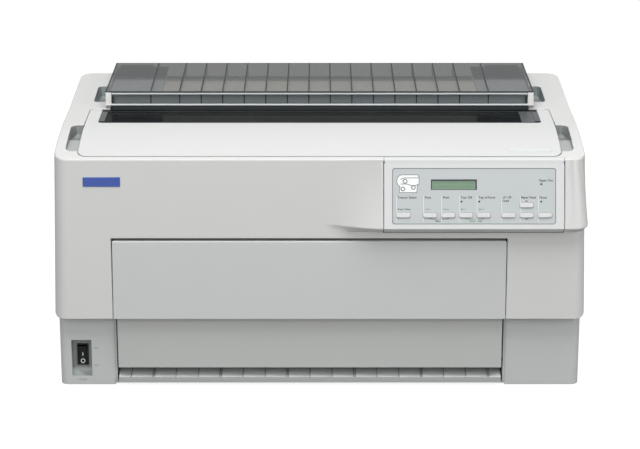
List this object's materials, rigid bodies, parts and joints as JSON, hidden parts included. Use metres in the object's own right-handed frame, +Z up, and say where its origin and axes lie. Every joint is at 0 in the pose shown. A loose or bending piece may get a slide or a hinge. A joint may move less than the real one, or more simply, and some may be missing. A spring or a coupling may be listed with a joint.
{
  "type": "dot matrix printer",
  "caption": "Wide-carriage dot matrix printer with a hinged smoked hood, a rear lid, a drop-down front cover, a control console and pin-feed tractors.",
  "frame": {"origin": "under the middle of the printer, on the surface that it stands on", "axes": "+X to the right along the platen, +Y to the back, +Z up"},
  "size_m": [0.6999, 0.382, 0.363],
  "materials": {
    "base_plastic": "fine grained, satin",
    "case_plastic": "fine grained, satin",
    "hood_plastic": "fine grained, satin",
    "smoked_acrylic": "smoked, clear",
    "plate_silver": "silvered",
    "bright_steel": "zinc plated",
    "white_plastic": "satin",
    "cover_plastic": "fine grained, satin",
    "skirt_plastic": "fine grained, satin",
    "guide_plastic": "satin",
    "console_plastic": "fine grained, satin",
    "overlay_film": "printed film",
    "display": "clear over green-grey",
    "key_plastic": "satin",
    "lamp_lens": "clear",
    "circuit_board": "solder mask",
    "black_plastic": "semi gloss",
    "badge_blue": "printed",
    "dark_rubber": "ground",
    "nylon": "moulded",
    "dark_metal": "black",
    "dark_plastic": "moulded",
    "flap_plastic": "moulded",
    "brass": "turned",
    "blue_plastic": "moulded",
    "belt_rubber": "moulded",
    "beige_plastic": "moulded",
    "supply_metal": "plain"
  },
  "bodies": {
    "chassis": {"base_tray": "base_plastic", "upper_case": "case_plastic", "hinge_pins": "bright_steel", "front_paper_guide": "guide_plastic", "console_frame": "console_plastic", "console_overlay": "overlay_film", "lcd_module": "display", "status_leds": "lamp_lens", "panel_board": "circuit_board", "power_switch_housing": "black_plastic", "badge_plate": "badge_blue", "mechanism_frame": "bright_steel", "guide_shafts": "bright_steel", "ribbon_cartridge": "dark_plastic", "carriage_motor": "dark_metal", "carriage_belt": "belt_rubber", "feed_motor": "dark_metal", "exit_paper_guide": "beige_plastic", "rear_paper_guide": "guide_plastic", "main_board": "circuit_board", "power_supply": "supply_metal", "rear_connectors": "black_plastic", "rubber_feet": "dark_rubber", "frame_screws": "bright_steel"},
    "hood_door": {"hood": "hood_plastic", "hood_window": "smoked_acrylic", "hood_nameplate": "plate_silver"},
    "rear_lid_door": {"rear_lid": "smoked_acrylic", "lid_end_caps": "white_plastic"},
    "front_door": {"front_cover": "cover_plastic", "front_cover_skirt": "skirt_plastic"},
    "tractor_select_button": {"tractor_select_key": "key_plastic"},
    "font_button": {"font_key": "key_plastic"},
    "pitch_button": {"pitch_key": "key_plastic"},
    "tear_off_button": {"tear_off_key": "key_plastic"},
    "form_top_button": {"form_top_key": "key_plastic"},
    "line_feed_button": {"line_feed_key": "key_plastic"},
    "feed_down_button": {"feed_down_key": "key_plastic"},
    "pause_button": {"pause_key": "key_plastic"},
    "feed_up_button": {"feed_up_key": "key_plastic"},
    "rocker": {"power_rocker": "black_plastic"},
    "platen": {"platen_roller": "dark_rubber", "platen_gear": "nylon"},
    "pinion": {"feed_pinion": "brass"},
    "carriage_unit": {"carriage": "dark_metal", "print_head": "dark_metal"},
    "drive_wheel": {"drive_pulley": "brass"},
    "idler_wheel": {"idler_pulley": "nylon"},
    "ribbon_winder": {"ribbon_knob": "blue_plastic"},
    "fan": {"fan_rotor": "dark_plastic"},
    "front_shaft": {"front_tractor_shaft": "bright_steel"},
    "rear_shaft": {"rear_tractor_shaft": "bright_steel"},
    "front_left_tractor": {"front_tractor_left": "dark_plastic"},
    "front_right_tractor": {"front_tractor_right": "dark_plastic"},
    "rear_left_tractor": {"rear_tractor_left": "dark_plastic"},
    "rear_right_tractor": {"rear_tractor_right": "dark_plastic"},
    "front_left_flap": {"front_flap_left": "flap_plastic"},
    "front_right_flap": {"front_flap_right": "flap_plastic"},
    "rear_left_flap": {"rear_flap_left": "flap_plastic"},
    "rear_right_flap": {"rear_flap_right": "flap_plastic"}
  },
  "joints": [
    {"name": "hood_hinge", "type": "hinge", "parent": "chassis", "child": "hood_door", "pos_m": [0, 0.014, 0.33023], "axis": [-1, 0, 0], "range_deg": [0, 75]},
    {"name": "rear_lid_hinge", "type": "hinge", "parent": "chassis", "child": "rear_lid_door", "pos_m": [0, 0.18, 0.34561], "axis": [-1, 0, 0], "range_deg": [0, 90]},
    {"name": "front_cover_hinge", "type": "hinge", "parent": "chassis", "child": "front_door", "pos_m": [0, -0.15851, 0.035], "axis": [1, 0, 0], "range_deg": [0, 80]},
    {"name": "tractor_select_press", "type": "slide", "parent": "chassis", "child": "tractor_select_button", "axis": [0, 0.9582, -0.2861], "range_m": [0, 0.0012], "stiffness_N_per_m": 400, "springref_m": -0.001},
    {"name": "font_press", "type": "slide", "parent": "chassis", "child": "font_button", "axis": [0, 0.9582, -0.2861], "range_m": [0, 0.0012], "stiffness_N_per_m": 400, "springref_m": -0.001},
    {"name": "pitch_press", "type": "slide", "parent": "chassis", "child": "pitch_button", "axis": [0, 0.9582, -0.2861], "range_m": [0, 0.0012], "stiffness_N_per_m": 400, "springref_m": -0.001},
    {"name": "tear_off_press", "type": "slide", "parent": "chassis", "child": "tear_off_button", "axis": [0, 0.9582, -0.2861], "range_m": [0, 0.0012], "stiffness_N_per_m": 400, "springref_m": -0.001},
    {"name": "form_top_press", "type": "slide", "parent": "chassis", "child": "form_top_button", "axis": [0, 0.9582, -0.2861], "range_m": [0, 0.0012], "stiffness_N_per_m": 400, "springref_m": -0.001},
    {"name": "line_feed_press", "type": "slide", "parent": "chassis", "child": "line_feed_button", "axis": [0, 0.9582, -0.2861], "range_m": [0, 0.0012], "stiffness_N_per_m": 400, "springref_m": -0.001},
    {"name": "feed_down_press", "type": "slide", "parent": "chassis", "child": "feed_down_button", "axis": [0, 0.9582, -0.2861], "range_m": [0, 0.0012], "stiffness_N_per_m": 400, "springref_m": -0.001},
    {"name": "pause_press", "type": "slide", "parent": "chassis", "child": "pause_button", "axis": [0, 0.9582, -0.2861], "range_m": [0, 0.0012], "stiffness_N_per_m": 400, "springref_m": -0.001},
    {"name": "feed_up_press", "type": "slide", "parent": "chassis", "child": "feed_up_button", "axis": [0, 0.9582, -0.2861], "range_m": [0, 0.0012], "stiffness_N_per_m": 400, "springref_m": -0.001},
    {"name": "power_rocker_tilt", "type": "hinge", "parent": "chassis", "child": "rocker", "pos_m": [-0.3164, -0.15001, 0.0416], "axis": [1, 0, 0], "range_deg": [-14, 0]},
    {"name": "carriage_slide", "type": "slide", "parent": "chassis", "child": "carriage_unit", "axis": [1, 0, 0], "range_m": [-0.18, 0.18]},
    {"name": "drive_pulley_spin", "type": "hinge", "parent": "chassis", "child": "drive_wheel", "pos_m": [-0.235, -0.102, 0.17], "axis": [0, 0, 1], "range_deg": [-1090, 1090]},
    {"name": "idler_pulley_spin", "type": "hinge", "parent": "chassis", "child": "idler_wheel", "pos_m": [0.208, -0.102, 0.17], "axis": [0, 0, 1], "range_deg": [-1090, 1090]},
    {"name": "platen_spin", "type": "hinge", "parent": "chassis", "child": "platen", "pos_m": [0, -0.042, 0.223], "axis": [1, 0, 0], "continuous": true},
    {"name": "feed_pinion_spin", "type": "hinge", "parent": "chassis", "child": "pinion", "pos_m": [0.246, -0.021, 0.18663], "axis": [1, 0, 0], "continuous": true},
    {"name": "ribbon_knob_spin", "type": "hinge", "parent": "chassis", "child": "ribbon_winder", "pos_m": [-0.236, -0.14, 0.25], "axis": [0, 0, 1], "continuous": true},
    {"name": "fan_spin", "type": "hinge", "parent": "chassis", "child": "fan", "pos_m": [-0.302, 0.17, 0.062], "axis": [0, 1, 0], "continuous": true},
    {"name": "front_shaft_spin", "type": "hinge", "parent": "chassis", "child": "front_shaft", "pos_m": [0, -0.084, 0.067], "axis": [1, 0, 0], "continuous": true},
    {"name": "front_left_tractor_slide", "type": "slide", "parent": "chassis", "child": "front_left_tractor", "axis": [1, 0, 0], "range_m": [-0.015, 0.025]},
    {"name": "front_right_tractor_slide", "type": "slide", "parent": "chassis", "child": "front_right_tractor", "axis": [1, 0, 0], "range_m": [-0.25, 0.02]},
    {"name": "front_left_flap_hinge", "type": "hinge", "parent": "front_left_tractor", "child": "front_left_flap", "pos_m": [-0.2294, -0.084, 0.0852], "axis": [0, -1, 0], "range_deg": [0, 85]},
    {"name": "front_right_flap_hinge", "type": "hinge", "parent": "front_right_tractor", "child": "front_right_flap", "pos_m": [0.1974, -0.084, 0.0852], "axis": [0, 1, 0], "range_deg": [0, 85]},
    {"name": "rear_shaft_spin", "type": "hinge", "parent": "chassis", "child": "rear_shaft", "pos_m": [0, 0.091, 0.106], "axis": [1, 0, 0], "continuous": true},
    {"name": "rear_left_tractor_slide", "type": "slide", "parent": "chassis", "child": "rear_left_tractor", "axis": [1, 0, 0], "range_m": [-0.015, 0.025]},
    {"name": "rear_right_tractor_slide", "type": "slide", "parent": "chassis", "child": "rear_right_tractor", "axis": [1, 0, 0], "range_m": [-0.25, 0.02]},
    {"name": "rear_left_flap_hinge", "type": "hinge", "parent": "rear_left_tractor", "child": "rear_left_flap", "pos_m": [-0.2294, 0.091, 0.1242], "axis": [0, -1, 0], "range_deg": [0, 85]},
    {"name": "rear_right_flap_hinge", "type": "hinge", "parent": "rear_right_tractor", "child": "rear_right_flap", "pos_m": [0.1974, 0.091, 0.1242], "axis": [0, 1, 0], "range_deg": [0, 85]}
  ],
  "couplings": [
    {"joint": "drive_pulley_spin", "follows": "carriage_slide", "rad_per_m": 100},
    {"joint": "idler_pulley_spin", "follows": "carriage_slide", "rad_per_m": 100},
    {"joint": "feed_pinion_spin", "follows": "platen_spin", "ratio": -2.5}
  ]
}
